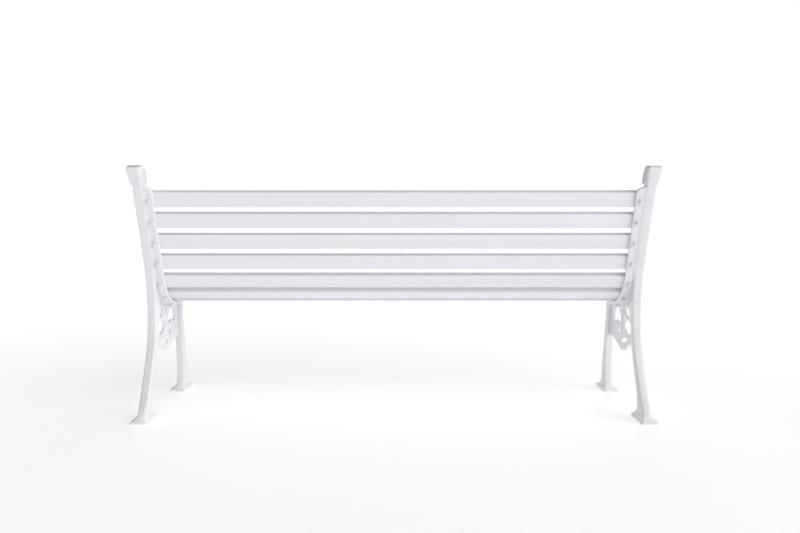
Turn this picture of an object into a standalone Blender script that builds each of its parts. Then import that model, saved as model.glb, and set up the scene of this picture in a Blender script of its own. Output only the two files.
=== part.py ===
# Slatted garden bench: two cast end frames, eleven slats, and a bolt and nut at each slat end.
# Metres, +Z up. X runs along the bench, the sitter faces -Y, and Z = 0 is the ground.
#
# The side view is drawn in (u, z): u runs forward from the heel of the rear foot, z runs up.
# The slat line is the line that the undersides of the slats rest on: straight down the back,
# round the rear corner, forward under the seat and over the rolled front edge.
import bmesh
import bpy
from math import cos, pi, radians, sin
from mathutils import Matrix, Vector

touch = 0.0003                 # gap between two pieces that touch
sunk = 0.012                   # one part of a casting runs this far into the next
overrun = 0.004                # cutter beyond the faces it goes through

# Overall
span = 1.538                   # outer face to outer face of the end frames
seat_low = 0.342               # lowest point of the slat line above the ground
corner_u = 0.252               # heel of the rear foot to the centre of the rear corner

# Slats
slat_width = 0.048
slat_thickness = 0.020
slat_gap = 0.0225
slat_round = 0.003             # radius of the long edges
back_slats = 5
seat_slats = 6
end_gap = 0.0015               # slat end to the rib beside it

# Slat line
back_lean = radians(24.5)      # from upright
seat_rise = radians(10.0)      # from level
corner_radius = 0.180
front_radius = 0.085
front_run = 0.0505             # front curve, up to the middle of the last slat
line_margin = 0.013            # slat line beyond the first and the last slat

# End frame
rib_width = 0.028
ledge_width = 0.028            # ledge that carries the slats, inside the rib
ledge_thickness = 0.010
ledge_short = 0.002            # ledge stops this far before each end of the rib
rib_behind = 0.003             # rib stands this far behind the ledge
rib_cover = 0.002              # rib stands this far above the slats
web_thickness = 0.010
leg_fillet = 0.012             # inner corner between a leg and the rail
shoulder_rise = 0.010          # ledge's top slants up by this towards the rib
neck_length = 0.008
neck_waist = 0.0010            # neck's step back from the rib, all round
knob_height = 0.068
knob_depth = 0.057
knob_drop = 0.010              # knob's lower edge below the top of the neck
knob_full = 0.8                # below 1 the crown is fuller than a quarter ellipse
knob_heel = 0.003              # knob behind the rib, at its foot
knob_overhang = 0.003          # knob beyond the rib on each side, at its foot
knob_flare = 0.005             # further overhang on each side at its top

# Legs
leg_depth = 0.030              # front to back, at half height
rear_leg_bow = 0.0990          # back of the rear leg at its most forward point
front_leg_inset = 0.1200       # top of the front leg behind the end of the slat line
front_leg_splay = 0.070        # foot of the front leg ahead of its top
web_low = 0.505                # lowest point of the lobe, as a part of the leg's height

# Feet
foot_length = 0.116
foot_plate = 0.006
foot_flare = 0.006             # height of the flare above the plate
foot_height = 0.024            # plate, flare and plinth together
foot_lip = 0.0025              # plate beyond the rib on the inner side
foot_tab = 0.023               # plate beyond the rib on the outer side
anchor_radius = 0.0045

# Fasteners: M8 mushroom-head bolt and hexagon nut
bolt_radius = 0.004
bolt_play = 0.0003             # between the shank and each bore
head_radius = 0.0085
head_height = 0.0045
nut_flats = 0.013
nut_height = 0.0065
bolt_proud = 0.0035            # bolt end beyond the nut
bolt_chamfer = 0.0008

slat_count = back_slats + seat_slats
pitch = slat_width + slat_gap
outer_x = span / 2
rib_x = outer_x - rib_width
ledge_x = rib_x - ledge_width
bolt_x = rib_x - ledge_width / 2
web_x = outer_x - rib_width / 2
bore_radius = bolt_radius + bolt_play
stations = [line_margin + slat_width / 2 + pitch * i for i in range(slat_count)]
line_end = stations[-1] + slat_width / 2 + line_margin

# Lengths of the slat line's four stretches
back_run = stations[0] + pitch * (back_slats - 1.5)
corner_run = corner_radius * (radians(90) + seat_rise - back_lean)
level_run = stations[-1] - front_run - back_run - corner_run
nose_run = line_end - stations[-1] + front_run
line_pieces = [(back_run, 0.0), (corner_run, 1 / corner_radius),
               (level_run, 0.0), (nose_run, -1 / front_radius)]

# The rib lies between these two lines beside the slat line
rib_back = -ledge_thickness - rib_behind
rib_front = slat_thickness + rib_cover
underside = seat_low + rib_back


def walk(distance):
    """Step (u, z) and lean after a distance down the slat line from its top."""
    u = z = 0.0
    lean = back_lean
    for length, bend in line_pieces:
        run = min(distance, length)
        turned = lean + run * bend
        if bend:
            u += (cos(lean) - cos(turned)) / bend
            z += (sin(lean) - sin(turned)) / bend
        else:
            u += run * sin(lean)
            z -= run * cos(lean)
        lean = turned
        distance -= run
        if distance <= 0:
            break
    return u, z, lean


corner_step = walk(back_run)
line_u = corner_u - corner_radius * cos(back_lean) - corner_step[0]
line_z = seat_low + corner_radius * (1 - sin(back_lean)) - corner_step[1]


def beside_line(distance, above=0.0, along=0.0):
    """Point off the slat line: above on the sitter's side, along towards the front."""
    u, z, lean = walk(distance)
    return (line_u + u + above * cos(lean) + along * sin(lean),
            line_z + z + above * sin(lean) - along * cos(lean))


def line_points(above, first, last, steps):
    return [beside_line(first + (last - first) * i / steps, above) for i in range(steps + 1)]


def pad_points(above):
    """The ledge is flat under each slat, so its line joins flat stretches."""
    half = slat_width / 2 + touch
    points = [beside_line(ledge_short, above)]
    for station in stations:
        points += [beside_line(station, above, -half), beside_line(station, above, half)]
    return points + [beside_line(line_end - ledge_short, above)]


def smooth(points, steps=5, closed=False):
    """Smooth line through a few points, however unevenly they are spaced."""
    places = [Vector(point) for point in points]
    if closed:
        places = places[-1:] + places + places[:2]
    else:
        places = [2 * places[0] - places[1]] + places + [2 * places[-1] - places[-2]]
    line = []
    for before, start, end, after in zip(places, places[1:], places[2:], places[3:]):
        gaps = [(start - before).length, (end - start).length, (after - end).length]
        slopes = [(start - before) / gaps[0], (end - start) / gaps[1], (after - end) / gaps[2]]
        leaving = (slopes[0] * gaps[1] + slopes[1] * gaps[0]) / (gaps[0] + gaps[1]) * gaps[1]
        arriving = (slopes[1] * gaps[2] + slopes[2] * gaps[1]) / (gaps[1] + gaps[2]) * gaps[1]
        for i in range(steps):
            t = i / steps
            line.append(tuple((1 + 2 * t) * (1 - t) ** 2 * start + t * (1 - t) ** 2 * leaving
                              + t * t * (3 - 2 * t) * end - t * t * (1 - t) * arriving))
    return line if closed else line + [tuple(points[-1])]


def at_height(part):
    """Height between the top of the foot (0) and the underside of the rail (1)."""
    return foot_height + (underside - foot_height) * part


# ---- Legs, side view: (part of the height, back, front) ----

def rear_leg():
    bow = rear_leg_bow
    return [
        (0.00, 0.000, leg_depth + 0.042),
        (0.04, 0.004, leg_depth + 0.036),
        (0.17, bow - 0.071, leg_depth + 0.035),
        (0.38, bow - 0.041, bow - 0.039 + leg_depth),
        (0.62, bow - 0.010, bow - 0.010 + leg_depth),
        (0.87, bow, bow + leg_depth),
    ]


def front_leg():
    top = beside_line(line_end)[0] - front_leg_inset
    foot = top + front_leg_splay
    return [
        (0.00, foot - leg_depth - 0.028, foot),
        (0.09, foot - leg_depth - 0.026, foot - 0.006),
        (0.27, foot - leg_depth - 0.026, foot - 0.020),
        (0.42, foot - leg_depth - 0.034, foot - 0.034),
        (0.66, top - leg_depth + 0.018, top + 0.018),
        (0.93, top - leg_depth, top),
    ]


def leg_line(leg, side):
    return [(entry[side], at_height(entry[0])) for entry in leg]


def rib_outline():
    """Post, seat rail and both legs as one closed outline."""
    rear = rear_leg()
    front = front_leg()
    post_end = back_run - slat_width * 0.5
    post_heel = post_end - slat_width * 0.8
    post = [beside_line(0.0, rib_back), beside_line(post_heel, rib_back)]
    rear_back = smooth([post[-1], beside_line(post_end, rib_back)] + leg_line(rear, 1)[::-1])
    rail_from = rear[-1][2] + leg_fillet
    rail_to = front[-1][1] - leg_fillet
    rear_front = smooth(leg_line(rear, 2) + [(rail_from, underside + leg_fillet / 2)])
    rail = [point for point in line_points(rib_back, back_run, back_run + corner_run + level_run, 40)
            if rail_from + leg_fillet < point[0] < rail_to - leg_fillet / 3][::2]
    front_back = smooth([(rail_to + leg_fillet / 3, underside + leg_fillet / 3)]
                        + leg_line(front, 1)[::-1])
    brow = beside_line(line_end - nose_run * 0.8, rib_back)
    brow_foot = (front[-1][2] + leg_fillet * 1.3, brow[1] - leg_fillet / 6)
    front_front = smooth(leg_line(front, 2) + [brow_foot, brow])
    nose_under = line_points(rib_back, line_end - nose_run * 0.7, line_end, 5)
    nose_radius = (rib_front - rib_back) / 2
    nose = [beside_line(line_end, rib_back + nose_radius * (1 - cos(turn)), nose_radius * sin(turn))
            for turn in (pi * i / 6 for i in range(1, 6))]
    over = line_points(rib_front, line_end, 0.0, 44)
    return post[:1] + rear_back + rear_front + rail + front_back + front_front + nose_under + nose + over


def above_top(up, forward):
    """Point beyond the top of the slat line, up along the back and across it."""
    return beside_line(0.0, forward, -up)


def neck_outline():
    back, front = rib_back + neck_waist, rib_front - neck_waist
    return [above_top(-sunk, back), above_top(neck_length + sunk, back),
            above_top(neck_length + sunk, front), above_top(-sunk, front)]


def knob_outline():
    """Knob with a nearly straight back that leans out, a rounded top and a bulging front."""
    heel = rib_back - knob_heel
    lean_out = knob_flare * 1.8
    toe_up = neck_length - knob_drop
    rise = knob_height + neck_length - toe_up
    crown_back = heel - lean_out * 0.45
    crown = []
    for i in range(9):
        turn = (pi / 2) * i / 8
        bulge = (heel + knob_depth - crown_back) * cos(turn) ** knob_full
        crown.append(above_top(toe_up + rise * sin(turn), crown_back + bulge))
    back = [above_top(neck_length + knob_height * up, heel - lean_out * out)
            for up, out in ((0.94, 1.0), (0.50, 0.55), (0.09, 0.0))]
    return crown + back


# ---- Filigree between the legs ----

def web_place(along, up):
    """Point in the web: along from the rear leg (0) to the front leg (1), up to the rail (1)."""
    rear = rear_leg()[-2][2]
    front = front_leg()[-2][1]
    low = at_height(web_low)
    return rear + (front - rear) * along, low + (underside - low) * up


def web_outline():
    """Web with its hanging lobe. It runs into the legs and the rail on three sides."""
    rear_top, front_top = web_place(0, 1), web_place(1, 1)
    lobe = smooth([web_place(along, up) for along, up in [
        (0.00, 0.22), (0.13, 0.22), (0.26, 0.145), (0.36, 0.05), (0.45, 0.0),
        (0.54, 0.02), (0.68, 0.12), (0.84, 0.185), (1.00, 0.18)]], 3)
    rail = [point for point in line_points(rib_back + sunk / 2, back_run, line_end - nose_run, 30)
            if rear_top[0] + sunk < point[0] < front_top[0] + sunk / 3][::3]
    return ([(rear_top[0] - sunk, lobe[0][1])] + lobe
            + [(front_top[0] + sunk, lobe[-1][1]), (front_top[0] + sunk / 3, front_top[1])]
            + rail[::-1] + [(rear_top[0] - sunk / 2, rear_top[1] + sunk)])


# Openings through the web, each a ring of (along, up)
web_openings = [
    [(0.66, 0.94), (0.585, 0.80), (0.545, 0.66), (0.58, 0.59), (0.67, 0.63),
     (0.76, 0.56), (0.79, 0.66), (0.73, 0.83)],
    [(0.32, 0.71), (0.19, 0.66), (0.165, 0.55), (0.27, 0.43), (0.38, 0.50), (0.39, 0.62)],
    [(0.25, 0.99), (0.225, 0.91), (0.23, 0.83), (0.265, 0.84), (0.285, 0.94)],
    [(0.59, 0.46), (0.55, 0.39), (0.59, 0.33), (0.64, 0.39)],
    [(0.38, 0.34), (0.37, 0.28), (0.45, 0.21), (0.52, 0.17), (0.53, 0.22), (0.47, 0.29)],
]


# ---- Solids ----

def add_object(name, shape):
    mesh = bpy.data.meshes.new(name)
    shape.to_mesh(mesh)
    shape.free()
    obj = bpy.data.objects.new(name, mesh)
    bpy.context.scene.collection.objects.link(obj)
    return obj


def prism(name, outline, side, x_low, x_high):
    """Solid between two X planes from a closed (u, z) outline, on one side of the bench."""
    shape = bmesh.new()
    ring = [shape.verts.new((side * x_low, -u, z)) for u, z in outline]
    moved = bmesh.ops.extrude_face_region(shape, geom=[shape.faces.new(ring)])["geom"]
    far = [item for item in moved if isinstance(item, bmesh.types.BMVert)]
    bmesh.ops.translate(shape, verts=far, vec=(side * (x_high - x_low), 0, 0))
    bmesh.ops.recalc_face_normals(shape, faces=shape.faces)
    return add_object(name, shape)


def stack(name, side, layers):
    """Solid of rectangles (x low, x high, u back, u front, z), one above the other."""
    shape = bmesh.new()
    rings = [[shape.verts.new((side * x, -u, z)) for x, u in
              ((x_low, back), (x_high, back), (x_high, front), (x_low, front))]
             for x_low, x_high, back, front, z in layers]
    shape.faces.new(rings[0])
    shape.faces.new(rings[-1])
    for lower, upper in zip(rings, rings[1:]):
        for i in range(4):
            j = (i + 1) % 4
            shape.faces.new((lower[i], lower[j], upper[j], upper[i]))
    bmesh.ops.recalc_face_normals(shape, faces=shape.faces)
    return add_object(name, shape)


def bar(name, radius, place, axis, low, high, segments=16):
    """Round bar through place along axis, from low to high."""
    shape = bmesh.new()
    bmesh.ops.create_cone(shape, cap_ends=True, segments=segments,
                          radius1=radius, radius2=radius, depth=high - low)
    turn = Vector((0, 0, 1)).rotation_difference(axis).to_matrix().to_4x4()
    centre = place + axis * (low + high) / 2
    bmesh.ops.transform(shape, matrix=Matrix.Translation(centre) @ turn, verts=shape.verts)
    return add_object(name, shape)


def knob_solid(name, side):
    """Knob as wide as the rib at its foot, flaring towards its top."""
    obj = prism(name, knob_outline(), side, rib_x, outer_x)
    foot_u, foot_z = above_top(0, 0)
    for vert in obj.data.vertices:
        up = (vert.co.y + foot_u) * sin(back_lean) + (vert.co.z - foot_z) * cos(back_lean)
        share = min(max(up / knob_height, 0), 1)
        outwards = 1 if side * vert.co.x > web_x else -1
        vert.co.x += side * outwards * (knob_flare * share + knob_overhang)
    return obj


def shoulder(name, side):
    """Slanted top of the ledge, rising to the neck."""
    inset = touch / 2
    corners = [(ledge_x + inset, sunk / 2), (rib_x + sunk / 2, sunk), (rib_x + sunk / 2, -shoulder_rise),
               (rib_x, -shoulder_rise), (ledge_x + sunk / 3, 0.0)]
    shape = bmesh.new()
    rings = []
    for above in (-touch - inset, -ledge_thickness + inset):
        places = [(x, beside_line(0, above, along)) for x, along in corners]
        rings.append([shape.verts.new((side * x, -u, z)) for x, (u, z) in places])
    shape.faces.new(rings[0])
    shape.faces.new(rings[1])
    for i in range(5):
        j = (i + 1) % 5
        shape.faces.new((rings[0][i], rings[0][j], rings[1][j], rings[1][i]))
    bmesh.ops.recalc_face_normals(shape, faces=shape.faces)
    return add_object(name, shape)


def boolean(target, tools, operation):
    for item in tools:
        item.hide_render = True
        item.display_type = "WIRE"
        step = target.modifiers.new(item.name, "BOOLEAN")
        step.operation = operation
        step.solver = "EXACT"
        step.object = item


def bolt_axis(side, station):
    """Place on the slat line and direction towards the sitter of one bolt."""
    u, z = beside_line(station)
    lean = walk(station)[2]
    return Vector((side * bolt_x, -u, z)), Vector((0, -cos(lean), sin(lean)))


def foot(name, side, back, front):
    """Foot: a flat plate, a flare and a plinth under the leg."""
    low_x, high_x = rib_x - foot_lip, outer_x + foot_tab
    toe = back + foot_length
    flare = (low_x + 0.001, outer_x + foot_tab * 0.35, back + 0.001, front + (toe - front) * 0.62)
    plinth = (rib_x - 0.001, outer_x + foot_tab * 0.12, back + 0.002, front + (toe - front) * 0.42)
    return stack(name, side, [
        (low_x, high_x, back, toe, 0.0),
        (low_x, high_x, back, toe, foot_plate),
        (*flare, foot_plate + foot_flare),
        (*plinth, foot_height - 0.002),
        (*plinth, foot_height + 0.002),
    ])


def end_frame(side, name, material):
    frame = prism(name, rib_outline(), side, rib_x, outer_x)
    ledge = prism(name + "_ledge", pad_points(-touch) + pad_points(-ledge_thickness)[::-1],
                  side, ledge_x, rib_x + sunk / 3)
    web = prism(name + "_web", web_outline(), side,
                web_x - web_thickness / 2, web_x + web_thickness / 2)
    neck = prism(name + "_neck", neck_outline(), side, rib_x + neck_waist, outer_x - neck_waist)
    knob = knob_solid(name + "_knob", side)
    rear, front = rear_leg()[0], front_leg()[0]
    feet = [foot(name + "_rear_foot", side, rear[1], rear[2]),
            foot(name + "_front_foot", side, front[1], front[2])]
    boolean(frame, [ledge, shoulder(name + "_shoulder", side), web, neck, knob] + feet, "UNION")
    cuts = []
    for i, ring in enumerate(web_openings):
        outline = smooth([web_place(*place) for place in ring], 3, closed=True)
        cuts.append(prism(f"{name}_opening_{i + 1}", outline, side, rib_x, outer_x))
    for i, station in enumerate(stations):
        place, axis = bolt_axis(side, station)
        cuts.append(bar(f"{name}_bore_{i + 1}", bore_radius, place, axis,
                        -ledge_thickness - overrun, overrun))
    for i, heel in enumerate((rear[1], front[1])):
        place = Vector((side * (outer_x + foot_tab * 0.55), -heel - foot_length * 0.5, 0))
        cuts.append(bar(f"{name}_anchor_{i + 1}", anchor_radius, place, Vector((0, 0, 1)),
                        -overrun, foot_height + overrun))
    boolean(frame, cuts, "DIFFERENCE")
    frame.data.materials.append(material)
    return frame


def slat(name, station, material):
    """Slat across both ledges, bored for a bolt at each end."""
    half_length = rib_x - end_gap
    lean = walk(station)[2]
    shape = bmesh.new()
    bmesh.ops.create_cube(shape, size=1)
    bmesh.ops.scale(shape, vec=(2 * half_length, slat_thickness, slat_width), verts=shape.verts)
    long_edges = [edge for edge in shape.edges
                  if abs(edge.verts[0].co.x - edge.verts[1].co.x) > half_length]
    bmesh.ops.bevel(shape, geom=long_edges, offset=slat_round, segments=3, profile=0.5,
                    affect="EDGES")
    obj = add_object(name, shape)
    u, z = beside_line(station, slat_thickness / 2)
    obj.location = (0, -u, z)
    obj.rotation_euler = (-lean, 0, 0)
    bores = []
    for side in (-1, 1):
        place, axis = bolt_axis(side, station)
        bores.append(bar(f"{name}_bore_{'left' if side > 0 else 'right'}", bore_radius,
                         place, axis, -overrun, slat_thickness + overrun))
    boolean(obj, bores, "DIFFERENCE")
    obj.data.materials.append(material)
    return obj


def turned(name, profile, place, axis, segments=16):
    """Solid of revolution about axis, from (radius, height) with both ends at the axis."""
    shape = bmesh.new()
    verts = [shape.verts.new((radius, 0, height)) for radius, height in profile]
    edges = [shape.edges.new(pair) for pair in zip(verts, verts[1:])]
    bmesh.ops.spin(shape, geom=verts + edges, cent=(0, 0, 0), axis=(0, 0, 1),
                   angle=2 * pi, steps=segments, use_merge=True)
    bmesh.ops.remove_doubles(shape, verts=shape.verts, dist=1e-6)
    bmesh.ops.recalc_face_normals(shape, faces=shape.faces)
    turn = Vector((0, 0, 1)).rotation_difference(axis).to_matrix().to_4x4()
    bmesh.ops.transform(shape, matrix=Matrix.Translation(place) @ turn, verts=shape.verts)
    obj = add_object(name, shape)
    obj.data.shade_smooth()
    obj.data.set_sharp_from_angle(angle=radians(40))
    return obj


def bolt(name, side, station, material):
    place, axis = bolt_axis(side, station)
    seat = slat_thickness + touch
    end = -ledge_thickness - touch - nut_height - bolt_proud
    rim = head_height * 0.22
    dome = [(head_radius * cos(turn), seat + rim + (head_height - rim) * sin(turn))
            for turn in (pi / 2 * i / 4 for i in range(4))]
    profile = ([(0, end), (bolt_radius - bolt_chamfer, end), (bolt_radius, end + bolt_chamfer),
                (bolt_radius, seat), (head_radius, seat)]
               + dome + [(0, seat + head_height)])
    obj = turned(name, profile, place, axis)
    obj.data.materials.append(material)
    return obj


def nut(name, side, station, material):
    """Hexagon nut under the ledge, with a bore that clears the bolt."""
    place, axis = bolt_axis(side, station)
    radius = nut_flats / 2 / cos(pi / 6)
    low = -ledge_thickness - touch - nut_height
    shape = bmesh.new()
    bmesh.ops.create_cone(shape, cap_ends=True, segments=6, radius1=radius, radius2=radius,
                          depth=nut_height)
    turn = Vector((0, 0, 1)).rotation_difference(axis).to_matrix().to_4x4()
    centre = place + axis * (low + nut_height / 2)
    bmesh.ops.transform(shape, matrix=Matrix.Translation(centre) @ turn, verts=shape.verts)
    obj = add_object(name, shape)
    bore = bar(name + "_bore", bore_radius, place, axis, low - overrun, low + nut_height + overrun)
    boolean(obj, [bore], "DIFFERENCE")
    obj.data.materials.append(material)
    return obj


def paint(name, colour, roughness, metallic=0.0):
    material = bpy.data.materials.new(name)
    material.use_nodes = True
    shader = material.node_tree.nodes["Principled BSDF"]
    shader.inputs["Base Color"].default_value = (*colour, 1)
    shader.inputs["Roughness"].default_value = roughness
    shader.inputs["Metallic"].default_value = metallic
    return material


for item in list(bpy.data.objects):
    bpy.data.objects.remove(item, do_unlink=True)

sides = {"left": 1, "right": -1}
cast_paint = paint("cast_paint", (0.84, 0.84, 0.86), 0.35)
slat_paint = paint("slat_paint", (0.80, 0.81, 0.83), 0.45)
bolt_paint = paint("bolt_paint", (0.82, 0.82, 0.84), 0.40)

pieces = [end_frame(side, "end_frame_" + word, cast_paint) for word, side in sides.items()]
for i, station in enumerate(stations):
    part, number = ("back", i + 1) if i < back_slats else ("seat", i + 1 - back_slats)
    pieces.append(slat(f"{part}_slat_{number}", station, slat_paint))
    for word, side in sides.items():
        pieces.append(bolt(f"{part}_bolt_{number}_{word}", side, station, bolt_paint))
        pieces.append(nut(f"{part}_nut_{number}_{word}", side, station, bolt_paint))

# Middle of the depth to Y = 0: from the back of the knobs to the rolled front end
back_u = min(u for u, z in knob_outline())
front_u = max(u for u, z in rib_outline())
centre = bpy.data.objects.new("bench", None)
bpy.context.scene.collection.objects.link(centre)
for obj in [item for item in bpy.data.objects if item.type == "MESH"]:
    obj.parent = centre
centre.location = (0, (back_u + front_u) / 2, 0)
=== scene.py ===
# Slatted garden bench: two painted castings carry eleven painted slats, bolted through.
# Side views are worked out in (u, z): u runs forward from the heel of the rear foot, z runs up.
from math import cos, pi, radians, sin
import bpy
import numpy as np
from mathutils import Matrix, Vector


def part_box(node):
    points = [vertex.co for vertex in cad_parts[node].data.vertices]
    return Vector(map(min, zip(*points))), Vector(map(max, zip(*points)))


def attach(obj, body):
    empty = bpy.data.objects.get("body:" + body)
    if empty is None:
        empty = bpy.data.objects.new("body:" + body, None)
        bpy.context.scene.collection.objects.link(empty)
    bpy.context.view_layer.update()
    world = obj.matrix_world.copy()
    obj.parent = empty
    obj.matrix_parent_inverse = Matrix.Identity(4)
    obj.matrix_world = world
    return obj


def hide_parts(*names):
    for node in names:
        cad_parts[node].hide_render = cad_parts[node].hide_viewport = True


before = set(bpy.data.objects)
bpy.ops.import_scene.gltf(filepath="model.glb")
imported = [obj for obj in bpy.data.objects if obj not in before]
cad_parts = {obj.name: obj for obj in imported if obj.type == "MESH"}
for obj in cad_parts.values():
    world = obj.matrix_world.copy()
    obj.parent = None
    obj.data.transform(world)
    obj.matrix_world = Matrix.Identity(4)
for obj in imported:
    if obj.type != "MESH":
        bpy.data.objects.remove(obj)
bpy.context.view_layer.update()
print("frame loaded:", len(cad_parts), "nodes")

sideSigns = {"left": 1, "right": -1}

# The line that the undersides of the slats rest on
lineSizes = {
    "seatLow": 0.342,
    "cornerU": 0.252,
    "backLean": radians(24.5),
    "seatRise": radians(10.0),
    "cornerRadius": 0.180,
    "frontRadius": 0.085,
    "frontRun": 0.0505,
    "margin": 0.013,
    "backSlats": 5,
    "seatSlats": 6,
    "pitch": 0.0705,
    "slatWidth": 0.048,
}

# The casting, side to side and beside the slat line
ribSizes = {
    "outerX": 0.769,
    "width": 0.028,
    "ledgeWidth": 0.028,
    "ledgeThickness": 0.010,
    "ledgeShort": 0.002,
    "behind": 0.003,
    "front": 0.022,
    "fillet": 0.012,
    "shoulderRise": 0.010,
    "touch": 0.0003,
    "squareness": 9.0,
    "ledgeSquareness": 12.0,
    "noseInset": 0.004,     # sides drawn in at the end of the nose
    "fill": 0.005,          # blend between the rib and the back of the ledge
    "fillSquareness": 2.4,
}

slatCount = lineSizes["backSlats"] + lineSizes["seatSlats"]
stations = lineSizes["margin"] + lineSizes["slatWidth"] / 2 + lineSizes["pitch"] * np.arange(slatCount)
lineEnd = stations[-1] + lineSizes["slatWidth"] / 2 + lineSizes["margin"]
backRun = stations[0] + lineSizes["pitch"] * (lineSizes["backSlats"] - 1.5)
cornerRun = lineSizes["cornerRadius"] * (radians(90) + lineSizes["seatRise"] - lineSizes["backLean"])
levelRun = stations[-1] - lineSizes["frontRun"] - backRun - cornerRun
noseRun = lineEnd - stations[-1] + lineSizes["frontRun"]
linePieces = [(backRun, 0.0), (cornerRun, 1 / lineSizes["cornerRadius"]),
              (levelRun, 0.0), (noseRun, -1 / lineSizes["frontRadius"])]

ribX = ribSizes["outerX"] - ribSizes["width"]
ledgeX = ribX - ribSizes["ledgeWidth"]
boltX = ribX - ribSizes["ledgeWidth"] / 2
webX = ribSizes["outerX"] - ribSizes["width"] / 2
ribBack = -ribSizes["ledgeThickness"] - ribSizes["behind"]
ribFront = ribSizes["front"]
underside = lineSizes["seatLow"] + ribBack


# Step (u, z) and lean after a distance down the slat line: straight stretches add length times the
# lean's sine and cosine, bends add the difference of the lean's sines and cosines over the bend
def walk(distance):
    distance = np.asarray(distance, float)
    u, z = np.zeros_like(distance), np.zeros_like(distance)
    lean = np.full_like(distance, lineSizes["backLean"])
    start = 0.0
    for length, bend in linePieces:
        run = np.minimum(distance - start, length)
        run = run if start == 0 else np.maximum(run, 0)
        turned = lean + run * bend
        if bend:
            u += (np.cos(lean) - np.cos(turned)) / bend
            z += (np.sin(lean) - np.sin(turned)) / bend
        else:
            u += run * np.sin(lean)
            z -= run * np.cos(lean)
        lean = turned
        start += length
    return u, z, lean


cornerStep = walk(backRun)
lineU = lineSizes["cornerU"] - lineSizes["cornerRadius"] * cos(lineSizes["backLean"]) - cornerStep[0]
lineZ = lineSizes["seatLow"] + lineSizes["cornerRadius"] * (1 - sin(lineSizes["backLean"])) - cornerStep[1]


# Points off the slat line: above on the sitter's side, along towards the front
def besideLine(distance, above=0.0, along=0.0):
    u, z, lean = walk(distance)
    return np.stack([lineU + u + above * np.cos(lean) + along * np.sin(lean),
                     lineZ + z + above * np.sin(lean) - along * np.cos(lean)], -1)


# Smooth curve through points: cubic Hermite, where the slope at a point is the mean of the chords
# beside it, each weighted by the other's length
def curveThrough(points, count, closed=False):
    p = np.asarray(points, float)
    ends = (p[-1:], p[:2]) if closed else (2 * p[:1] - p[1:2], 2 * p[-1:] - p[-2:-1])
    p = np.vstack([ends[0], p, ends[1]])
    gap = np.linalg.norm(np.diff(p, axis=0), axis=1)[:, None]
    chord = np.diff(p, axis=0) / gap
    slope = (chord[:-1] * gap[1:] + chord[1:] * gap[:-1]) / (gap[:-1] + gap[1:])
    knots = np.concatenate([[0.0], np.cumsum(gap[1:-1, 0])])
    at = np.linspace(0, knots[-1], count, endpoint=not closed)
    k = np.clip(np.searchsorted(knots, at, side="right") - 1, 0, len(knots) - 2)
    h = gap[1:-1][k]
    t = ((at - knots[k]) / h[:, 0])[:, None]
    return ((1 + 2 * t) * (1 - t) ** 2 * p[1:-1][k] + t * (1 - t) ** 2 * h * slope[k]
            + t * t * (3 - 2 * t) * p[2:][k] - t * t * (1 - t) * h * slope[k + 1])


# Skins from grids of points

# Closed skin over rows of points: quads join neighbouring rows, and either a fan closes each end
# row or, in a loop, the last row joins the first. Faces are turned so that the volume is positive
def skin(rows, loop=False):
    count, around = rows.shape[:2]
    points = rows.reshape(-1, 3)
    i = (np.arange(count if loop else count - 1) * around)[:, None]
    n = ((np.arange(count if loop else count - 1) + 1) % count * around)[:, None]
    j = np.arange(around)[None, :]
    k = (j + 1) % around
    quads = np.stack([i + j, i + k, n + k, n + j], -1).reshape(-1, 4)
    tris = np.zeros((0, 3), int)
    if not loop:
        j, k, last = j[0], k[0], (count - 1) * around
        tris = np.vstack([np.stack([k, j, np.full(around, len(points))], 1),
                          np.stack([last + j, last + k, np.full(around, len(points) + 1)], 1)])
        points = np.vstack([points, rows[[0, -1]].mean(1)])
    corners = np.vstack([quads[:, [0, 1, 2]], quads[:, [0, 2, 3]], tris])
    a, b, c = (points[corners[:, i]] for i in range(3))
    if np.einsum("ij,ij->", a, np.cross(b, c)) < 0:
        quads, tris = quads[:, ::-1], tris[:, ::-1]
    return points, quads, tris


def joinSkins(skins):
    points, quads, tris, first = [], [], [], 0
    for p, q, t in skins:
        points.append(p)
        quads.append(q + first)
        tris.append(t + first)
        first += len(p)
    return np.vstack(points), np.vstack(quads), np.vstack(tris)


def skinObject(name, shape, smoothTo=None):
    points, quads, tris = shape
    mesh = bpy.data.meshes.new(name)
    mesh.from_pydata(points.tolist(), [], quads.tolist() + tris.tolist())
    mesh.validate()
    if smoothTo:
        mesh.shade_smooth()
        mesh.set_sharp_from_angle(angle=radians(smoothTo))
    obj = bpy.data.objects.new(name, mesh)
    bpy.context.scene.collection.objects.link(obj)
    return obj


# Takes the shape that the modifiers give and drops them
def settle(obj, smoothTo=None):
    bpy.context.view_layer.update()
    shown = obj.evaluated_get(bpy.context.evaluated_depsgraph_get())
    mesh = bpy.data.meshes.new_from_object(shown)
    obj.modifiers.clear()
    obj.data = mesh
    mesh.name = obj.name
    if smoothTo:
        mesh.shade_smooth()
        mesh.set_sharp_from_angle(angle=radians(smoothTo))
    return obj


def cut(obj, cutters, smoothTo=None):
    tool = skinObject(obj.name + "-cutter", joinSkins(cutters))
    step = obj.modifiers.new("cut", "BOOLEAN")
    step.operation, step.solver, step.object = "DIFFERENCE", "MANIFOLD", tool
    settle(obj, smoothTo)
    bpy.data.objects.remove(tool)
    return obj


def pointsOf(mesh):
    points = np.empty(len(mesh.vertices) * 3)
    mesh.vertices.foreach_get("co", points)
    return points.reshape(-1, 3)


# Superellipse: |x| to the power plus |y| to the power is one
def superellipse(around, power):
    turn = np.linspace(0, 2 * pi, around, endpoint=False)
    c, s = np.cos(turn), np.sin(turn)
    return np.sign(c) * np.abs(c) ** (2 / power), np.sign(s) * np.abs(s) ** (2 / power)


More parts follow.
